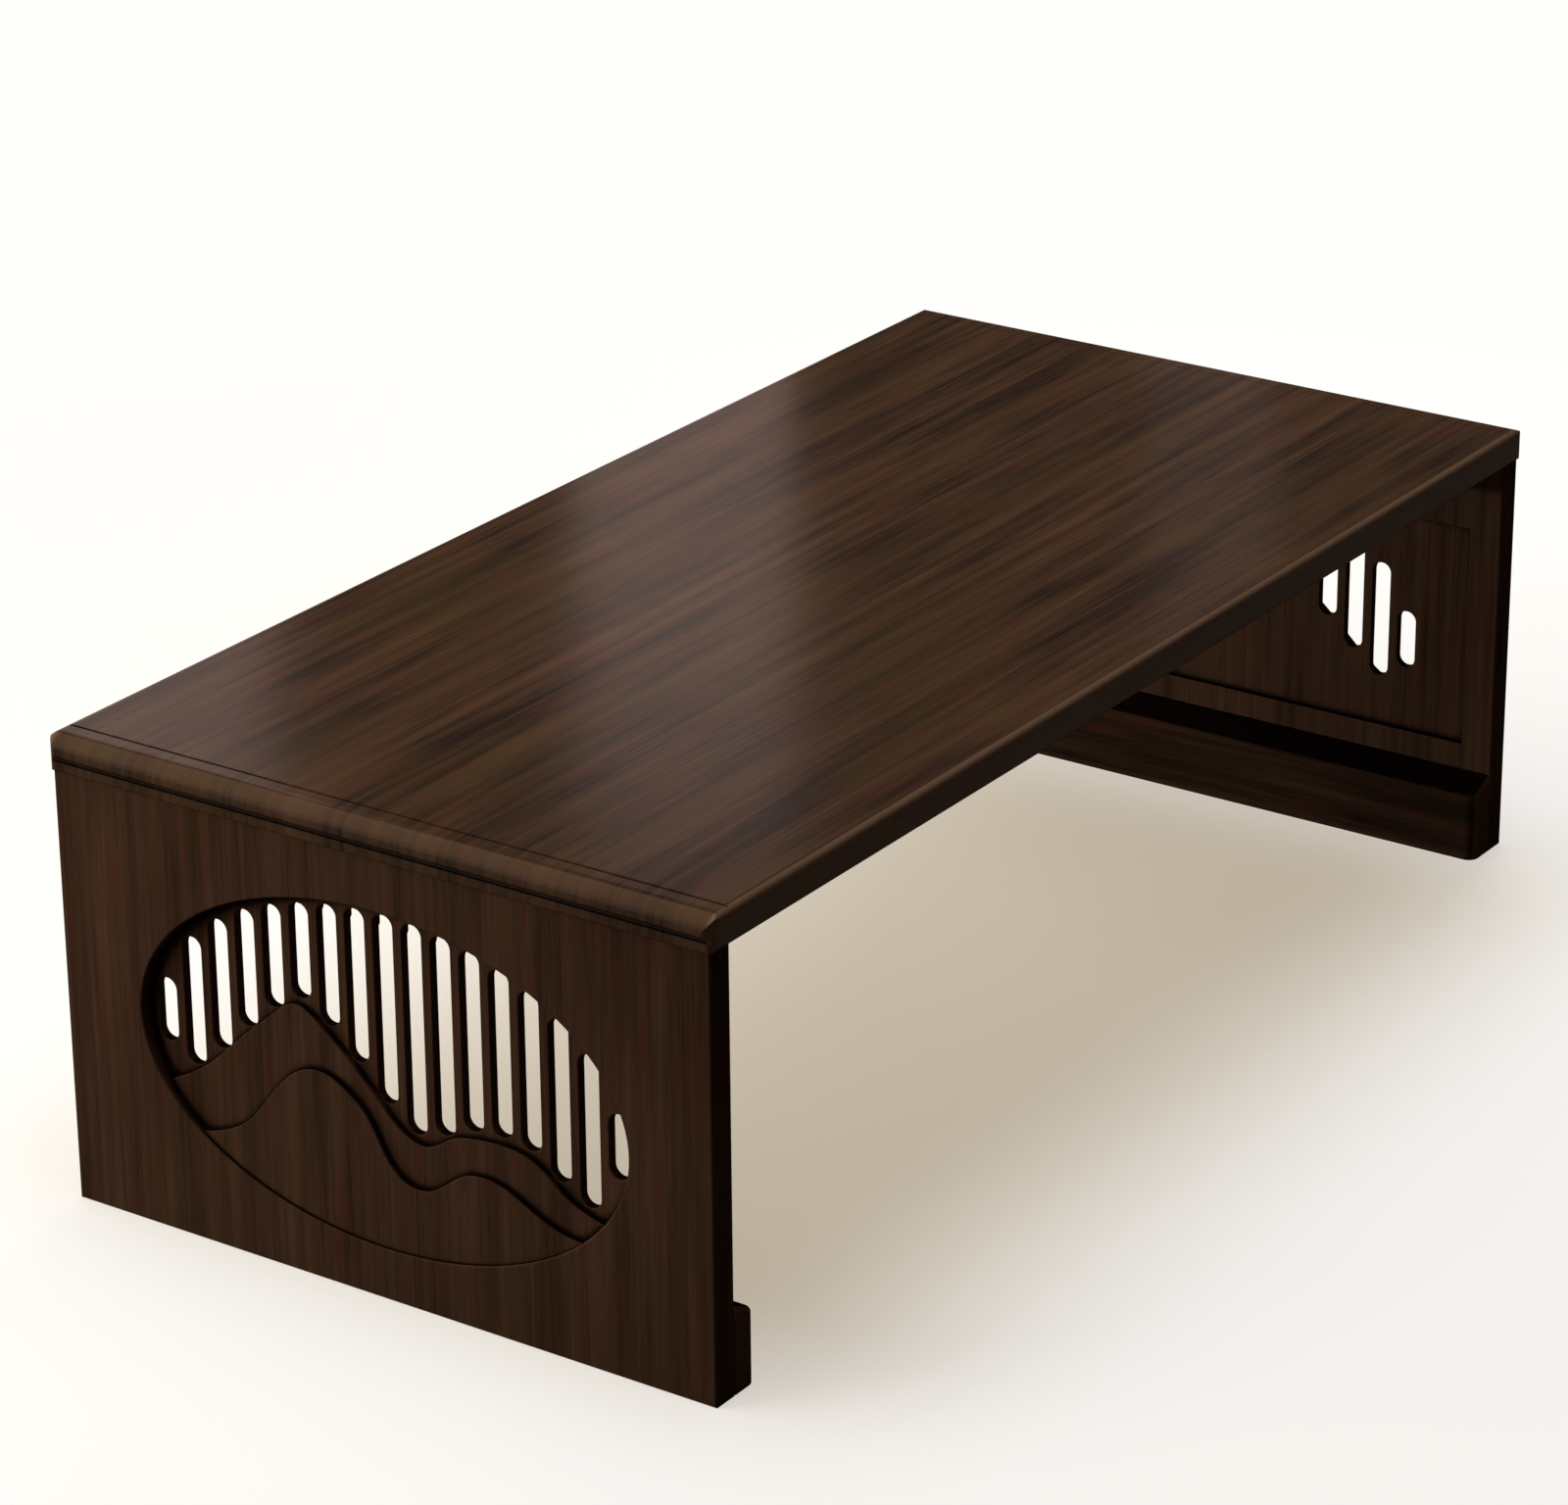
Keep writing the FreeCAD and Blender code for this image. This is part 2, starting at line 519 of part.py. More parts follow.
def leg_board(end, turn):
    """The board: blank, less the relief, the slots, the pocket behind them and the drilled holes."""
    name = f"{end}_leg"
    blank = slab(f"{name}_blank", "XZ_Plane", rectangle(LEG_INNER, LEG_OUTER, ZERO, UNDERSIDE),
                 f"2 * {LEG_HALF}")
    round_over(blank, "sizes.leg_edge_round", dict(x=LEG_OUTER), *mirrored_y(LEG_HALF, x=LEG_INNER))
    pocket_corner = (f"({LEG_INNER} - sizes.cut_overrun)", f"-{POCKET_HALF}", "sizes.pocket_bottom_border")
    pocket = primitive("Part::Box", f"{name}_pocket", pocket_corner, Height=POCKET_HEIGHT,
                       Length="sizes.pocket_depth + sizes.cut_overrun", Width=f"2 * {POCKET_HALF}")
    dowel_holes = copies(f"{name}_dowel_holes", rail_dowel_hole, DOWEL_SEATS)
    screw_holes = copies(f"{name}_screw_holes", hinge_screw_hole, hinge_screw_seats(ON_THE_LEG))
    board = cut(f"{name}_carved", blank, relief(f"{name}_relief"), pocket, slots(f"{name}_slots"),
                dowel_holes, screw_holes)
    node(board, f"{end}_leg_board", turn)


# Foot rail
def foot_rail(end, turn):
    """The rail that widens the leg's foot, with a sloping top, and its dowels."""
    name = f"{end}_rail"
    blank = slab(f"{name}_blank", "XZ_Plane", [
        (RAIL_INNER, ZERO), (LEG_INNER, ZERO), (LEG_INNER, "sizes.rail_height"),
        (RAIL_INNER, "sizes.rail_front_height"),
    ], f"2 * {LEG_HALF}")
    round_over(blank, "sizes.rail_end_round", *mirrored_y(LEG_HALF, x=RAIL_INNER))
    round_over(blank, "sizes.rail_round", dict(x=RAIL_INNER, z="sizes.rail_front_height"))
    holes = copies(f"{name}_holes", rail_dowel_hole, DOWEL_SEATS)
    node(cut(f"{name}_drilled", blank, holes), f"{end}_foot_rail", turn)
    node(copies(f"{name}_pegs", rail_dowel, DOWEL_SEATS), f"{end}_rail_dowels", turn)


# Hinge batten
def hinge_batten(end, turn):
    """The batten that carries the hinges under the top, with its screws."""
    name = f"{end}_batten"
    blank = slab(f"{name}_blank", "XZ_Plane", rectangle(BATTEN_INNER, BATTEN_OUTER, BATTEN_BOTTOM, UNDERSIDE),
                 f"2 * {BATTEN_HALF}")
    round_over(blank, "sizes.batten_round", *mirrored_y(BATTEN_HALF, x=BATTEN_INNER))
    round_over(blank, "sizes.batten_edge_round", dict(x=BATTEN_INNER, z=BATTEN_BOTTOM))
    screw_holes = copies(f"{name}_screw_holes", batten_screw_hole, BATTEN_SCREW_SEATS)
    hinge_holes = copies(f"{name}_hinge_holes", hinge_screw_hole, hinge_screw_seats(AS_DRAWN))
    node(cut(f"{name}_drilled", blank, screw_holes, hinge_holes), f"{end}_hinge_batten", turn)
    node(copies(f"{name}_fasteners", batten_screw, BATTEN_SCREW_SEATS), f"{end}_batten_screws", turn)


# Butt hinges
def leaf(name, knuckles):
    """One leaf, drawn about its pin on the Y axis: the plate to the -X side with its seat face up."""
    plate = slab(f"{name}_plate", "XY_Plane",
                 rectangle("-sizes.leaf_width", f"-{HINGE_SEAT}", f"-{HINGE_HALF}", HINGE_HALF),
                 "sizes.leaf_thickness")
    round_over(plate, "sizes.leaf_corner_radius", *mirrored_y(HINGE_HALF, x="-sizes.leaf_width"))
    place(plate, (ZERO, ZERO, f"({HINGE_SEAT} - sizes.leaf_thickness / 2)"))
    pieces = [plate]
    for index in knuckles:
        start = f"({index} * {SEGMENT_PITCH} + sizes.knuckle_gap / 2 - {HINGE_HALF})"
        pieces.append(primitive("Part::Box", f"{name}_tab_{index}", (f"-{HINGE_SEAT}", start, LEAF_FACE),
                                Length=HINGE_SEAT, Width=SEGMENT_LENGTH,
                                Height="sizes.leaf_thickness - sizes.knuckle_gap"))
        pieces.append(primitive("Part::Cylinder", f"{name}_knuckle_{index}", (ZERO, start, ZERO), ALONG_Y,
                                Radius=KNUCKLE_RADIUS, Height=SEGMENT_LENGTH))
    bore = primitive("Part::Cylinder", f"{name}_bore", (ZERO, f"-{HINGE_HALF}", ZERO), ALONG_Y,
                     Radius=f"{PIN_RADIUS} + sizes.fit_clearance", Height="sizes.hinge_length")
    holes = copies(f"{name}_screw_holes", hinge_screw_hole, LEAF_SCREW_SEATS)
    return cut(f"{name}_drilled", combine("Part::MultiFuse", f"{name}_blank", pieces), bore, holes)


def hinge_pin(name):
    """The pin on the Z axis, with a head at each end against the outer knuckles."""
    half = f"({HINGE_HALF} - sizes.knuckle_gap / 2)"
    tip = f"({half} + sizes.pin_head_height)"
    head = "(sizes.pin_head_diameter / 2)"
    crown = f"({PIN_CROWN_SHARE} * {head})"
    waist = f"({half} + sizes.pin_head_height / 2)"
    return turned(name, [
        (ZERO, f"-{tip}"), (crown, f"-{tip}"), (head, f"-{waist}"), (head, f"-{half}"),
        (PIN_RADIUS, f"-{half}"), (PIN_RADIUS, half), (head, half), (head, waist), (crown, tip), (ZERO, tip),
    ])


def hinges(end, turn):
    """Two butt hinges, between the batten and the leg board, with their screws."""
    for side, at in HINGE_PLACES.items():
        name = f"{end}_{side}_hinge"
        pieces = {
            "fixed_leaf": place(leaf(f"{name}_fixed", FIXED_KNUCKLES), at),
            "swing_leaf": place(leaf(f"{name}_swing", SWING_KNUCKLES), at, ON_THE_LEG),
            "pin": place(hinge_pin(f"{name}_axle"), at, ALONG_Y),
        }
        for kind, piece in pieces.items():
            node(combine("Part::Compound", f"{name}_{kind}_set", [piece]), f"{name}_{kind}", turn)
    top_screws = copies(f"{end}_top_fasteners", hinge_screw, hinge_screw_seats(AS_DRAWN))
    node(top_screws, f"{end}_hinge_screws_top", turn)
    leg_screws = copies(f"{end}_leg_fasteners", hinge_screw, hinge_screw_seats(ON_THE_LEG))
    node(leg_screws, f"{end}_hinge_screws_leg", turn)


tabletop_panel()
for end, turn in ENDS.items():
    hinge_batten(end, turn)
    leg_board(end, turn)
    foot_rail(end, turn)
    hinges(end, turn)
doc.recompute()

# Check every object, then write each sub-part to its own file
faults = [thing.Label for thing in doc.Objects if {"Invalid", "Error"} & set(thing.State)]
faults += [thing.Label for thing in nodes if thing.Shape.isNull() or not thing.Shape.isValid()]
if faults:
    raise RuntimeError(f"not built: {', '.join(faults)}")
os.makedirs("parts", exist_ok=True)
for thing in nodes:
    thing.Shape.exportStep(f"parts/{thing.Label}.step")
    print(f"{thing.Label}: {len(thing.Shape.Solids)} solids, {thing.Shape.Volume:.1f} mm3")
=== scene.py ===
# %% [markdown]
# # A folding coffee table in dark stained bamboo
#
# The table is one long panel on two carved leg boards, which swing in on butt hinges and lie flat under it.
# Its shapes come from the imported model as a fixed frame. This lesson gives every piece its finish, sets the
# camera where the photographer stood, and lights it softly. We load the frame first and keep its box, which
# sets the floor's height.

# %% Load the frame
import math

import bpy
from mathutils import Matrix, Vector


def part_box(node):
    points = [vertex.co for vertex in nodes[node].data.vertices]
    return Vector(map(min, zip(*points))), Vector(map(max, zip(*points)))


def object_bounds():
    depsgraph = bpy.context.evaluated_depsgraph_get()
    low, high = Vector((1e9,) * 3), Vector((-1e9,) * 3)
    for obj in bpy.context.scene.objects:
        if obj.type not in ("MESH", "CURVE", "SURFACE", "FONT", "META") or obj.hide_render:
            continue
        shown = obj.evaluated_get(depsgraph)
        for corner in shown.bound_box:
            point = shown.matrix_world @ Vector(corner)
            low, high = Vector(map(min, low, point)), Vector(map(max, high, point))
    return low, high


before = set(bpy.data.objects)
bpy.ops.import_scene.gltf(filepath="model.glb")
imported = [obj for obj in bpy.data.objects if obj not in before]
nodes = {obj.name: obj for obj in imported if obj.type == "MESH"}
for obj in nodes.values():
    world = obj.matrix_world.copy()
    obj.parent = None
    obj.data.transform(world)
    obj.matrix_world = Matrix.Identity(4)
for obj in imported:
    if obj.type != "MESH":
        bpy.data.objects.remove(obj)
cad_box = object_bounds()
top_low, top_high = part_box("tabletop_panel")
print(f"{len(nodes)} pieces, table {top_high.x - top_low.x:.3f} by {top_high.y - top_low.y:.3f} m")

# %% [markdown]
# ## The camera
#
# A camera can be turned by trial and error, or worked out from the picture's straight edges. Long edges
# that are parallel on the table meet at vanishing points, and those fix the lens and the angles. Here the
# angles are written as yaw, pitch and roll about a point in the table's middle, which is easy to read and
# to change. The lens is long, about 128 mm, so the lines converge only gently.

# %% Camera
CAMERA_LENS = 127.62
CAMERA_SENSOR = 36.0
CAMERA_YAW = math.radians(34.487)
CAMERA_PITCH = math.radians(22.813)
CAMERA_ROLL = math.radians(-0.515)
CAMERA_DISTANCE = 3.726
CAMERA_SLIDE = (-0.0347, 0.0267)
AIM_POINT = Vector((0.0, 0.0, 0.160))


def aim_camera():
    """Place the camera by yaw, pitch and roll about the aim point."""
    forward = Vector((
        math.cos(CAMERA_YAW) * math.cos(CAMERA_PITCH),
        math.sin(CAMERA_YAW) * math.cos(CAMERA_PITCH),
        -math.sin(CAMERA_PITCH),
    ))
    level = Vector((math.sin(CAMERA_YAW), -math.cos(CAMERA_YAW), 0.0))
    upright = level.cross(forward)
    right = math.cos(CAMERA_ROLL) * level + math.sin(CAMERA_ROLL) * upright
    up = math.cos(CAMERA_ROLL) * upright - math.sin(CAMERA_ROLL) * level
    place = AIM_POINT - CAMERA_DISTANCE * forward + CAMERA_SLIDE[0] * right + CAMERA_SLIDE[1] * up
    data = bpy.data.cameras.new("camera")
    data.lens = CAMERA_LENS
    data.sensor_width = CAMERA_SENSOR
    data.sensor_fit = "HORIZONTAL"
    data.clip_end = 50.0
    camera = bpy.data.objects.new("camera", data)
    turn = Matrix((right, up, -forward)).transposed()
    camera.matrix_world = Matrix.Translation(place) @ turn.to_4x4()
    bpy.context.scene.collection.objects.link(camera)
    bpy.context.scene.camera = camera
    return camera


camera = aim_camera()
print("camera at", [round(value, 3) for value in camera.matrix_world.translation])

# %% [markdown]
# ## Sums with sockets
#
# Procedural finishes are sums: noise times a strength, one mask minus another. Wiring each Math node by
# hand hides the sum, so a small class wraps an output socket and answers to Python's own operators. Writing
# `1 - mask` then adds the Math node for us.

# %% Sums with sockets
class Value:
    """An output socket that adds Math nodes when it is used in a sum."""

    def __init__(self, finish, socket):
        self.finish = finish
        self.socket = socket

    def sum(self, operation, *others):
        inputs = dict(enumerate([self, *others]))
        return self.finish.add("ShaderNodeMath", {"operation": operation}, inputs)

    def __add__(self, other):
        return self.sum("ADD", other)

    def __sub__(self, other):
        return self.sum("SUBTRACT", other)

    def __mul__(self, other):
        return self.sum("MULTIPLY", other)

    def __rsub__(self, other):
        return self.sum("MULTIPLY_ADD", -1.0, other)

    __radd__ = __add__
    __rmul__ = __mul__

    def __abs__(self):
        return self.sum("ABSOLUTE")

    def ramp(self, low, high):
        """0 below low, 1 above high, smooth between; a low above high falls instead."""
        settings = {"interpolation_type": "SMOOTHSTEP"}
        if low <= high:
            return self.finish.add("ShaderNodeMapRange", settings, {0: self, 1: low, 2: high, 3: 0.0, 4: 1.0})
        return self.finish.add("ShaderNodeMapRange", settings, {0: self, 1: high, 2: low, 3: 1.0, 4: 0.0})


print("sums ready")

# %% [markdown]
# ## One method for every other node
#
# A second class holds the nodes of a material, or of the world, which has nodes too. One method adds any
# kind of node, with its settings first and its sockets after, and a few short ones use it for what every
# finish needs: noise, a mix of two colours, the place of a point, and the shader itself. The shader can
# ease the edges: its Bevel node bends the light over a sharp arris, as a wipe of sandpaper does, without
# touching the mesh.

# %% Nodes of a finish
EDGE_SAMPLES = 6


class Finish:
    """The nodes of a material or of the world, and the one method that adds to them."""

    def __init__(self, owner):
        self.owner = owner
        owner.use_nodes = True
        self.tree = owner.node_tree
        self.tree.nodes.clear()

    def add(self, kind, settings=None, inputs=None, output=0):
        """Add a node, set it up, then fill or link its sockets; returns one of its outputs."""
        node = self.tree.nodes.new(kind)
        for name, setting in (settings or {}).items():
            setattr(node, name, setting)
        for key, given in (inputs or {}).items():
            socket = node.inputs[key]
            if isinstance(given, Value):
                self.tree.links.new(given.socket, socket)
            else:
                socket.default_value = given
        return Value(self, node.outputs[output]) if node.outputs else None

    def noise(self, x, y, z=0.0, detail=2.0, roughness=0.5):
        """Smooth noise about 0.5, at a place given by three values."""
        place = self.add("ShaderNodeCombineXYZ", None, {0: x, 1: y, 2: z})
        return self.add("ShaderNodeTexNoise", None,
                        {"Vector": place, "Scale": 1.0, "Detail": detail, "Roughness": roughness})

    def mix(self, share, low, high):
        """One colour going over into another."""
        return self.add("ShaderNodeMix", {"data_type": "RGBA"}, {0: share, 6: low, 7: high}, output=2)

    def axes(self, kind="Object"):
        """The x, y and z of the point being shaded or, for kind "Normal", of the way that it faces."""
        vector = self.add("ShaderNodeTexCoord", output=kind)
        split = self.add("ShaderNodeSeparateXYZ", None, {0: vector})
        return [Value(self, socket) for socket in split.socket.node.outputs]

    def seen(self):
        """1 where the eye looks, straight on or in a gloss, and 0 where light is gathered."""
        rays = [self.add("ShaderNodeLightPath", output=name)
                for name in ("Is Camera Ray", "Is Glossy Ray", "Is Transmission Ray")]
        return rays[0] + rays[1] + rays[2]

    def surface(self, colour, roughness, height, depth, easing=0.0, **constants):
        """The shader: colour, roughness and relief vary, and everything else is set once."""
        relief = {"Height": height, "Distance": depth, "Strength": 1.0}
        if easing:
            relief["Normal"] = self.add("ShaderNodeBevel", {"samples": EDGE_SAMPLES}, {"Radius": easing})
        bump = self.add("ShaderNodeBump", None, relief)
        inputs = {"Base Color": colour, "Roughness": roughness, "Normal": bump}
        inputs.update({name.replace("_", " "): amount for name, amount in constants.items()})
        shader = self.add("ShaderNodeBsdfPrincipled", None, inputs)
        self.add("ShaderNodeOutputMaterial", None, {"Surface": shader})
        return self.owner


def paint(red, green, blue):
    """A colour as seen on a screen, from 0 to 255, in the linear light that shaders use."""
    def linear(level):
        share = level / 255.0
        return share / 12.92 if share <= 0.04045 else ((share + 0.055) / 1.055) ** 2.4
    return (linear(red), linear(green), linear(blue), 1.0)


print("finish helpers ready")

# %% [markdown]
# ## The grain of stained bamboo
#
# The boards are bamboo, stained a deep brown. The stain sinks in unevenly along the fibres, so the surface
# is made of streaks at three widths, from two fingers down to a hair, and of a slow cloudiness. Each is the
# same noise, stretched along the grain. Patches of olive and thin threads of red keep it from looking like
# a single paint. A picture of wood would be quicker, but it repeats and it belongs to somebody; noise needs
# only the distance along the grain and the distance across it, so one function serves every board. The
# numbers beside those two are changes per metre: 4 along and 115 across is a streak 250 mm long and 9 mm
# wide.

# %% Grain
DARK_STAIN = paint(30, 19, 13)
RED_STAIN = paint(70, 33, 24)
OLIVE_STAIN = paint(62, 46, 24)
RED_SHARE = 0.4


def stained_grain(finish, along, across, seed, pale, tone, contrast, olive_share):
    """The stain's colour about a middle tone, and the fibre and streak that also shape the surface."""
    band = finish.noise(along * 1.1, across * 30.0, seed) - 0.5
    streak = finish.noise(along * 4.0, across * 115.0, seed + 3.0, detail=3.0) - 0.5
    fibre = finish.noise(along * 9.0, across * 480.0, seed + 5.0, detail=3.0, roughness=0.6) - 0.5
    cloud = finish.noise(along * 5.0, across * 22.0, seed + 7.0, detail=3.0) - 0.5
    red = finish.noise(along * 12.0, across * 110.0, seed + 11.0, detail=3.0).ramp(0.5, 0.72)
    olive = finish.noise(along * 4.0, across * 13.0, seed + 17.0, detail=3.0).ramp(0.42, 0.66)
    tone = (band * 0.8 + streak * 1.2 + fibre + cloud * 0.8) * contrast + tone
    colour = finish.mix(tone, DARK_STAIN, pale)
    colour = finish.mix(olive * olive_share, colour, OLIVE_STAIN)
    return finish.mix(red * RED_SHARE, colour, RED_STAIN), fibre, streak


print("grain ready")

# %% [markdown]
# ## Painted shade in the corners, wear and painted highlight on the edges
#
# The inner corners of the carving and the small flats that face up are painted dark. This is painted shade,
# where little light reaches. The upper part of the rounded edges is painted paler, partly as wear where
# polish thins the stain and partly as a painted highlight. Three masks tell these places apart: an Ambient
# Occlusion node finds the inner corners, the upward part of the surface normal finds the flats and the
# rounded edges, and the two together keep the paler paint out of the grooves. The lacquer is a thin Coat,
# laid only on the top's upper face and upright edges; the underside, which is never polished, is left rough.

# %% Painted shade, wear and painted highlight, and lacquer
# Painted shade for the inner corners and for the faces that turn up.
PAINTED_SHADE = paint(9, 5, 4)
CORNER_SHADE_REACH = 0.009
CORNER_SHADE_SHARE = 0.92
# A painted highlight on the upper part of the rounded edges, partly wear.
WEAR_AND_HIGHLIGHT_STAIN = paint(112, 88, 70)
WEAR_AND_HIGHLIGHT_SHARE = 0.25
EDGE_EASING = 0.0012
EDGE_LACQUER = 0.055
LACQUER_ROUGHNESS = 0.2
FIBRE_DEPTH = 0.0001
AIR_SAMPLES = 8
# Where a mask sets in and where it is full. Air is 1 in the open and less in a corner.
IN_CORNER = (0.94, 0.58)
OUT_OF_CORNER = (0.85, 0.97)
# Facing is 1 on top of a board, 0 on its sides and -1 underneath.
ON_LEDGE = (0.7, 0.88)
ON_TOP = (0.8, 0.98)
OVER_SIDE = (0.35, 0.6)
SHORT_OF_TOP = (0.985, 0.93)
OVER_UNDERSIDE = (-0.3, 0.0)
SHORT_OF_ROUND = (0.6, 0.3)
UNDERNEATH = (-0.2, -0.5)


def bamboo(name, grain, seed, pale, middle, olive_share, ledge_shade=0.0, lacquer=0.0):
    """A bamboo finish; grain gives along and across the fibres, the contrast and a painted paler tone."""
    finish = Finish(bpy.data.materials.new(name))
    along, across, contrast, painted_lift = grain(*finish.axes())
    # Painted light: the top's long edges and the rails' sawn ends are painted paler.
    tone = painted_lift + middle
    colour, fibre, streak = stained_grain(finish, along, across, seed, pale, tone, contrast, olive_share)
    open_air = finish.add("ShaderNodeAmbientOcclusion", {"only_local": True, "samples": AIR_SAMPLES},
                          {"Distance": CORNER_SHADE_REACH}, output=1)
    # Painted shade: the inner corners of the carving are painted dark.
    colour = finish.mix(open_air.ramp(*IN_CORNER) * CORNER_SHADE_SHARE, colour, PAINTED_SHADE)
    upward = finish.axes("Normal")[2]
    # Painted shade: faces that turn up, such as a rail's top, are painted dark.
    if ledge_shade:
        colour = finish.mix(upward.ramp(*ON_LEDGE) * ledge_shade, colour, PAINTED_SHADE)
    roughness = 0.22 + fibre * 0.12 - streak * 0.08 + upward.ramp(*UNDERNEATH) * 0.6
    height = fibre * 0.7 + streak * 0.3
    coat = 0.0
    if lacquer:
        # Painted highlight, partly wear: the upper part of the rounded edges is painted paler, more on the
        # long edges.
        wear_and_highlight = upward.ramp(*OVER_SIDE) * upward.ramp(*SHORT_OF_TOP) * open_air.ramp(*OUT_OF_CORNER)
        colour = finish.mix(wear_and_highlight * (WEAR_AND_HIGHLIGHT_SHARE + painted_lift), colour, WEAR_AND_HIGHLIGHT_STAIN)
        upright = upward.ramp(*OVER_UNDERSIDE) * upward.ramp(*SHORT_OF_ROUND)
        coat = upward.ramp(*ON_TOP) * lacquer + upright * EDGE_LACQUER
    return finish.surface(colour, roughness, height, FIBRE_DEPTH, easing=EDGE_EASING, Coat_Weight=coat,
                          Coat_Roughness=LACQUER_ROUGHNESS, Specular_IOR_Level=0.0)


print("bamboo finish ready")

# %% [markdown]
# ## The boards
#
# Grain follows how a board was cut: lengthwise on the top, upright on the legs, along the rails and
# battens. Each board says so in a small function, which also turns the fibres down over the top's long
# edges and paints them paler there, as a painted highlight. The sawn ends of the rails are painted paler
# too, as painted light.

# %% Boards
PALE_STAIN = paint(86, 59, 38)
DULL_STAIN = paint(84, 58, 42)
rail_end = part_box("left_foot_rail")[1].y


def top_grain(x, y, z):
    """Along the length; the fibres wrap over the rolled ends, and turn down the long edges."""
    edge = abs(y).ramp(top_high.y - 0.006, top_high.y - 0.001)
    roll = abs(x).ramp(top_high.x - 0.022, top_high.x - 0.012)
    # The fourth value is a painted highlight: the long edges are painted paler.
    return x, y + edge * z, 1.0 - roll * 0.2, edge * 0.7


def leg_grain(x, y, z):
    """Upright; nothing is painted paler."""
    return z, y + x, 0.65, 0.0


def rail_grain(x, y, z):
    """Along the rail, with the sawn ends painted paler as painted light."""
    # Painted light: the sawn ends are painted paler.
    end = abs(y).ramp(rail_end - 0.003, rail_end - 0.001)
    return y, z + x, 0.65, end * 0.75


top_bamboo = bamboo("top_bamboo", top_grain, 1.0, PALE_STAIN, middle=0.27, olive_share=0.45, lacquer=0.03)
leg_bamboo = bamboo("leg_bamboo", leg_grain, 23.0, DULL_STAIN, middle=0.39, olive_share=0.15, ledge_shade=0.85)
# The rails and battens get a darker middle tone than the legs, as painted shade under the top.
rail_bamboo = bamboo("rail_bamboo", rail_grain, 41.0, DULL_STAIN, middle=0.13, olive_share=0.15, ledge_shade=0.9)
print("bamboo finishes:", top_bamboo.name, leg_bamboo.name, rail_bamboo.name)

# %% [markdown]
# ## Steel and dowels
#
# The hinges are stamped from bronzed strip, so they keep the long scratches of the rollers. The screws are
# plated and were turned, and the dowels are plain pale wood that never sees daylight. Each still gets its
# own small finish, because the table is looked at from below too.

# %% Small finishes
def bronzed_steel():
    """Rolled strip with a dark bronze skin, worn brighter in streaks."""
    finish = Finish(bpy.data.materials.new("bronzed_steel"))
    x, y, z = finish.axes()
    scratch = finish.noise(x * 60.0, y * 2400.0, z * 60.0, detail=3.0)
    patina = finish.noise(x * 90.0, y * 90.0, z * 90.0, detail=3.0)
    colour = finish.mix(patina.ramp(0.35, 0.7), paint(92, 74, 50), paint(136, 112, 78))
    return finish.surface(colour, 0.3 + scratch * 0.25, scratch, 0.00003, Metallic=1.0)


def plated_steel():
    """Yellowish zinc plate with faint cloudiness."""
    finish = Finish(bpy.data.materials.new("plated_steel"))
    x, y, z = finish.axes()
    cloud = finish.noise(x * 700.0, y * 700.0, z * 700.0, detail=2.0)
    colour = finish.mix(cloud, paint(150, 138, 112), paint(190, 180, 158))
    return finish.surface(colour, 0.26 + cloud * 0.2, cloud, 0.00002, Metallic=1.0)


def dowel_wood():
    """Pale beech with short dark flecks."""
    finish = Finish(bpy.data.materials.new("dowel_wood"))
    x, y, z = finish.axes()
    fleck = finish.noise(x * 260.0, y * 1500.0, z * 1500.0, detail=2.0)
    colour = finish.mix(fleck.ramp(0.4, 0.7), paint(196, 160, 116), paint(158, 118, 78))
    return finish.surface(colour, 0.55 + fleck * 0.15, fleck, 0.00005)


print("small finishes ready")

# %% [markdown]
# ## A finish for every piece
#
# The pieces keep their own meshes, and only their material slots change. Their names say what they are, so
# a word in the name is enough to pick the finish. The order matters: a batten's screw is a screw before it
# is anything of the batten.

# %% Dress the pieces
hinge_finish = bronzed_steel()
FINISHES = {
    "screws": plated_steel(), "dowels": dowel_wood(), "leaf": hinge_finish, "pin": hinge_finish,
    "tabletop": top_bamboo, "leg_board": leg_bamboo, "foot_rail": rail_bamboo, "batten": rail_bamboo,
}
for name, piece in nodes.items():
    kind = next(word for word in FINISHES if word in name)
    piece.data.materials.clear()
    piece.data.materials.append(FINISHES[kind])
print(f"{len(nodes)} pieces finished")

# %% [markdown]
# ## The floor
#
# The floor is pale to the eye, so that it shows white round the table, but it throws back less light than
# it seems to: dark wood over a white floor would turn grey. A Light Path node tells a look from a bounce.
# Near the table part of the floor's own shading stays in, which keeps the shadow, and under the top a warm
# painted shade is laid on and less of the glow is let in, as light is after it has met brown wood. Seen from
# below the floor is clear, so that the hinges show.

# %% Floor
FLOOR_SIZE = 24.0
FLOOR_GAP = 0.0002
FLOOR_PAINT = paint(244, 239, 230)
FLOOR_BOUNCE = paint(108, 102, 93)
STUDIO_WHITE = paint(255, 254, 252)
# A painted warm shade for the floor under the top.
WARM_SHADE = paint(240, 224, 200)
NEAR_GLOW = 0.68
FAR_GLOW = 0.32
SHADE_DEPTH = 0.15


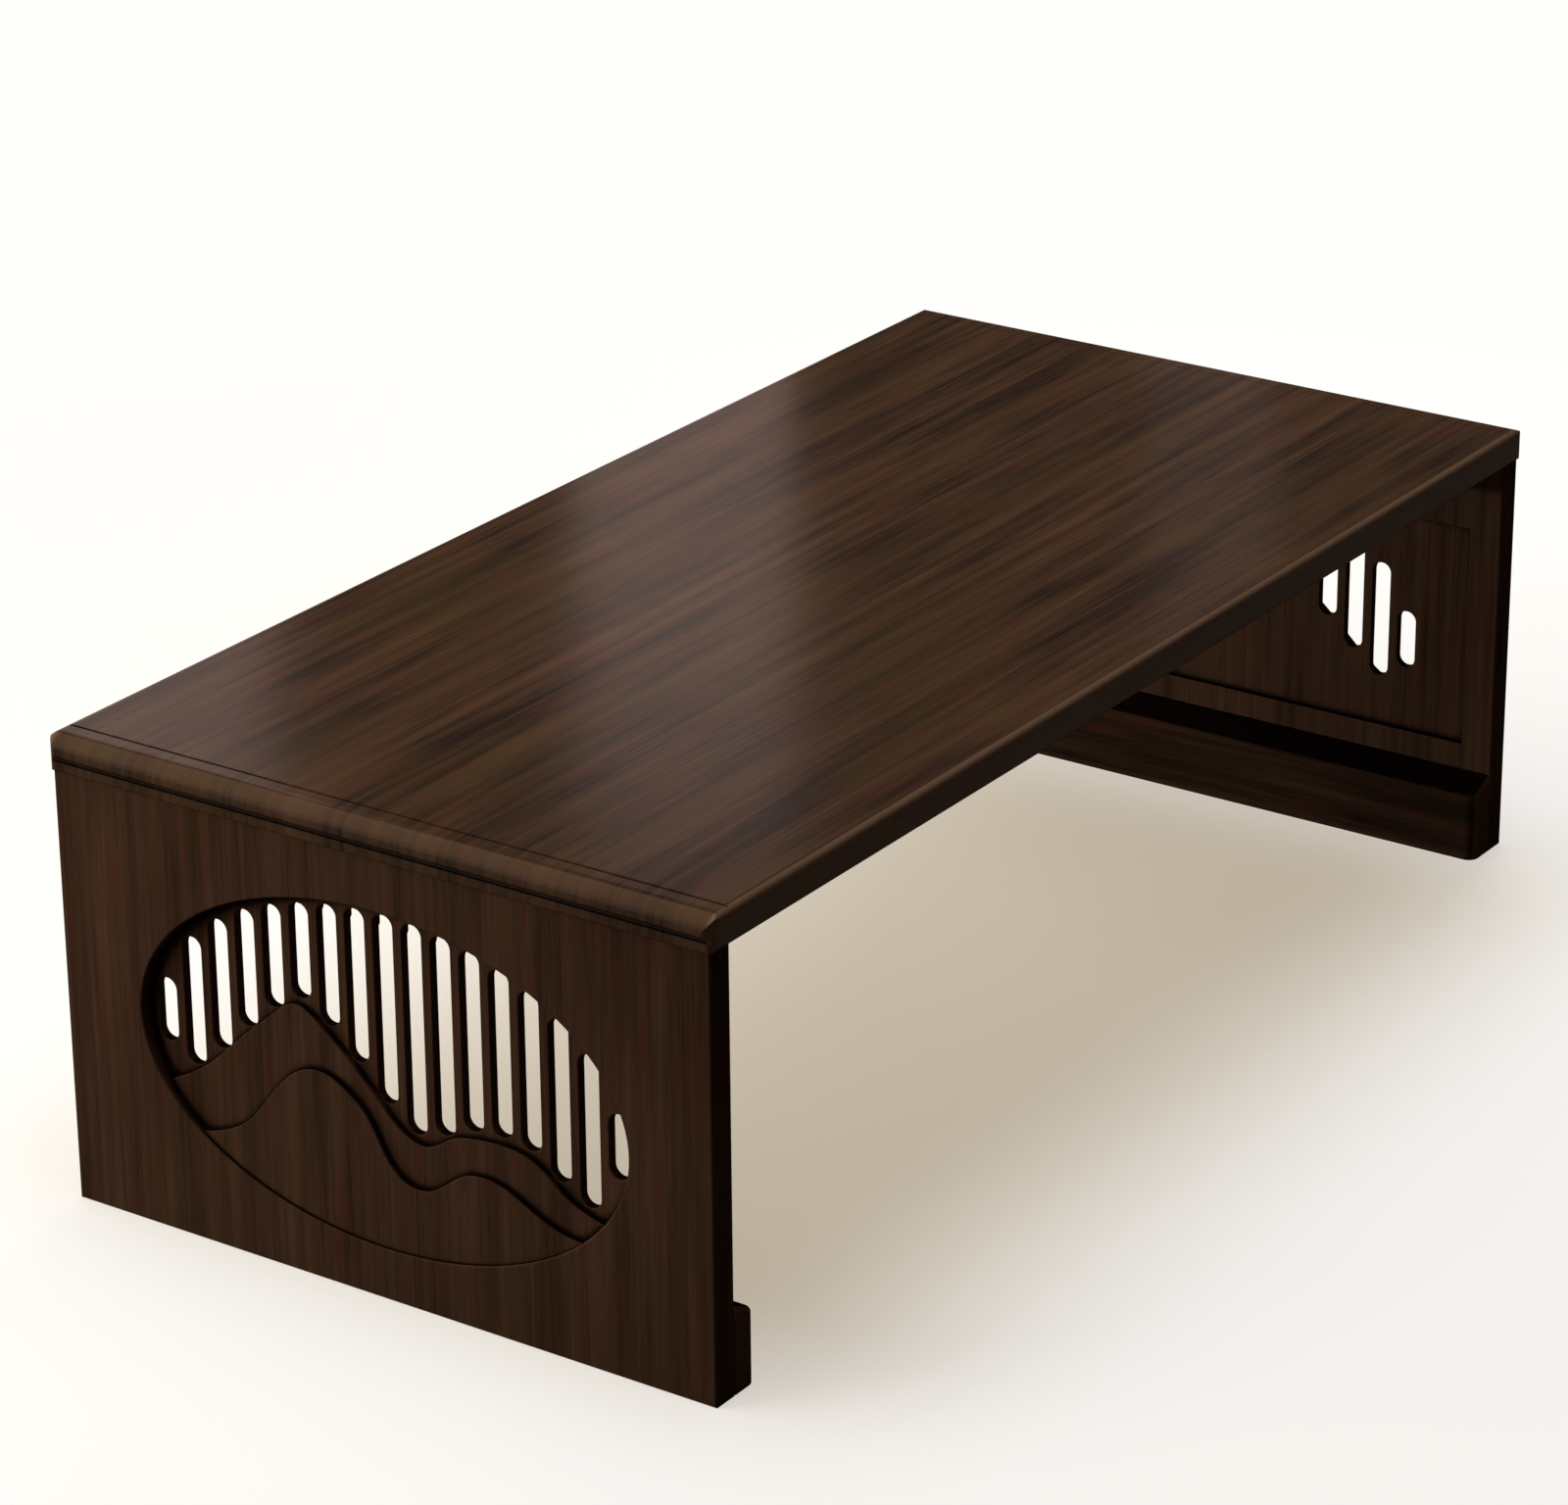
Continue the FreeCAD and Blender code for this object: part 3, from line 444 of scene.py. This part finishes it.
def pale_floor():
    """A wide plain floor just under the feet, pale to the eye and duller as a reflector of light."""
    bpy.ops.object.select_all(action="DESELECT")
    bpy.ops.mesh.primitive_plane_add(size=FLOOR_SIZE, location=(0.0, 0.0, cad_box[0][2] - FLOOR_GAP))
    floor = bpy.context.object
    floor.name = "floor"
    finish = Finish(bpy.data.materials.new("pale_floor"))
    x, y, _ = finish.axes()
    seen = finish.seen()
    away = (x * x + y * y).ramp(0.3, 2.5)
    # Painted shade: under the top the floor is painted warm and glows less.
    under = abs(x).ramp(0.6, 0.35) * abs(y).ramp(0.45, 0.15)
    matt = finish.add("ShaderNodeBsdfDiffuse", None, {"Color": finish.mix(seen, FLOOR_BOUNCE, FLOOR_PAINT)})
    warmth = finish.mix(under, STUDIO_WHITE, WARM_SHADE)
    glow = finish.add("ShaderNodeEmission", None, {"Color": warmth, "Strength": 1.0})
    glow_share = seen * (away * FAR_GLOW + NEAR_GLOW - under * SHADE_DEPTH)
    shader = finish.add("ShaderNodeMixShader", None, {0: glow_share, 1: matt, 2: glow})
    below = finish.add("ShaderNodeNewGeometry", output="Backfacing")
    clear = finish.add("ShaderNodeBsdfTransparent")
    one_sided = finish.add("ShaderNodeMixShader", None, {0: below, 1: shader, 2: clear})
    finish.add("ShaderNodeOutputMaterial", None, {"Surface": one_sided})
    floor.data.materials.append(finish.owner)
    return floor


print("floor:", pale_floor().name)

# %% [markdown]
# ## Soft lamps
#
# Large area lamps give soft shadows, as a studio's panels do. The strongest hangs overhead. Two stand at
# the table's ends, for the carving, and one stands low behind it, for the inner faces of the legs. A weak
# one lies on the floor under the top, so that the hinges can be made out. That one and the one at the far
# end are kept out of the gloss, where they would draw one more bright patch on the top.

# %% Lamps
LAMP_WHITE = (1.0, 0.97, 0.93)


def soft_panel(name, place, target, width, height, watts, tint):
    """A rectangular lamp that faces a point."""
    data = bpy.data.lights.new(name, "AREA")
    data.shape = "RECTANGLE"
    data.size = width
    data.size_y = height
    data.energy = watts
    data.color = tint
    lamp = bpy.data.objects.new(name, data)
    direction = Vector(target) - Vector(place)
    lamp.matrix_world = Matrix.Translation(place) @ direction.to_track_quat("-Z", "Y").to_matrix().to_4x4()
    bpy.context.scene.collection.objects.link(lamp)
    return lamp


soft_panel("overhead_panel", (-0.3, 0.5, 2.9), (0.0, 0.0, 0.2), 3.0, 2.6, 80.0, (1.0, 0.98, 0.95))
soft_panel("end_panel", (-1.8, 1.2, 1.0), (-0.4, 0.05, 0.15), 1.2, 0.9, 22.0, LAMP_WHITE)
far_panel = soft_panel("far_panel", (2.1, 0.5, 0.8), (0.4, 0.0, 0.15), 1.2, 0.9, 22.0, LAMP_WHITE)
far_panel.visible_glossy = False
under_panel = soft_panel("under_panel", (0.0, 0.0, 0.01), (0.0, 0.0, 1.0), 0.6, 0.36, 0.45, (1.0, 0.95, 0.88))
under_panel.visible_glossy = False
under_panel.visible_camera = False
soft_panel("low_panel", (-1.2, 2.4, 0.26), (0.4, -0.05, 0.14), 0.9, 0.4, 54.0, (0.9, 0.98, 1.0))
print("soft lamps placed")

# %% [markdown]
# ## Windows in the gloss
#
# A polished top is judged by what it mirrors. The photograph shows three pale bands, as from a row of
# windows at the far side of the room. They are three panels that only gloss can see: they add the bands and
# no other light. Their frame is a plane across the mirrored line of sight, one metre from the table's
# middle.

# %% Windows
WINDOW_TINT = (1.0, 0.76, 0.7)
WINDOW_MIDDLE = Vector((0.0, 0.0, top_high.z))
WINDOW_TOWARDS = Vector((0.762, 0.520, 0.388))
WINDOW_RIGHT = Vector((0.565, -0.825, 0.0))
WINDOW_UP = WINDOW_RIGHT.cross(WINDOW_TOWARDS)
WINDOWS = (
    # left, right, low, high, watts
    (-0.84, -0.47, -0.47, 0.47, 20.0),
    (-0.21, -0.03, -0.47, 0.2, 6.2),
    (0.27, 0.38, -0.47, 0.47, 1.2),
)
for number, (left, right, low, high, watts) in enumerate(WINDOWS):
    target = WINDOW_MIDDLE + WINDOW_RIGHT * (left + right) / 2 + WINDOW_UP * (low + high) / 2
    place = target + WINDOW_TOWARDS
    window = soft_panel(f"window_panel_{number}", place, target, right - left, high - low, watts, WINDOW_TINT)
    window.visible_camera = False
    window.visible_diffuse = False
print(f"{len(WINDOWS)} windows placed")

# %% [markdown]
# ## Walls
#
# The world does for walls what the floor's material does for the floor: white where the eye looks, and a
# dim grey where light is gathered, so that the sides away from the lamps stay as dark as they are.

# %% World
WALL_BOUNCE = (0.04, 0.04, 0.04, 1.0)
studio = Finish(bpy.data.worlds.new("pale_studio"))
walls = studio.mix(studio.seen(), WALL_BOUNCE, STUDIO_WHITE)
walls = studio.add("ShaderNodeBackground", None, {"Color": walls, "Strength": 1.0})
studio.add("ShaderNodeOutputWorld", None, {"Surface": walls})
bpy.context.scene.world = studio.owner
bpy.context.scene.view_settings.view_transform = "Standard"
print("world:", studio.owner.name)
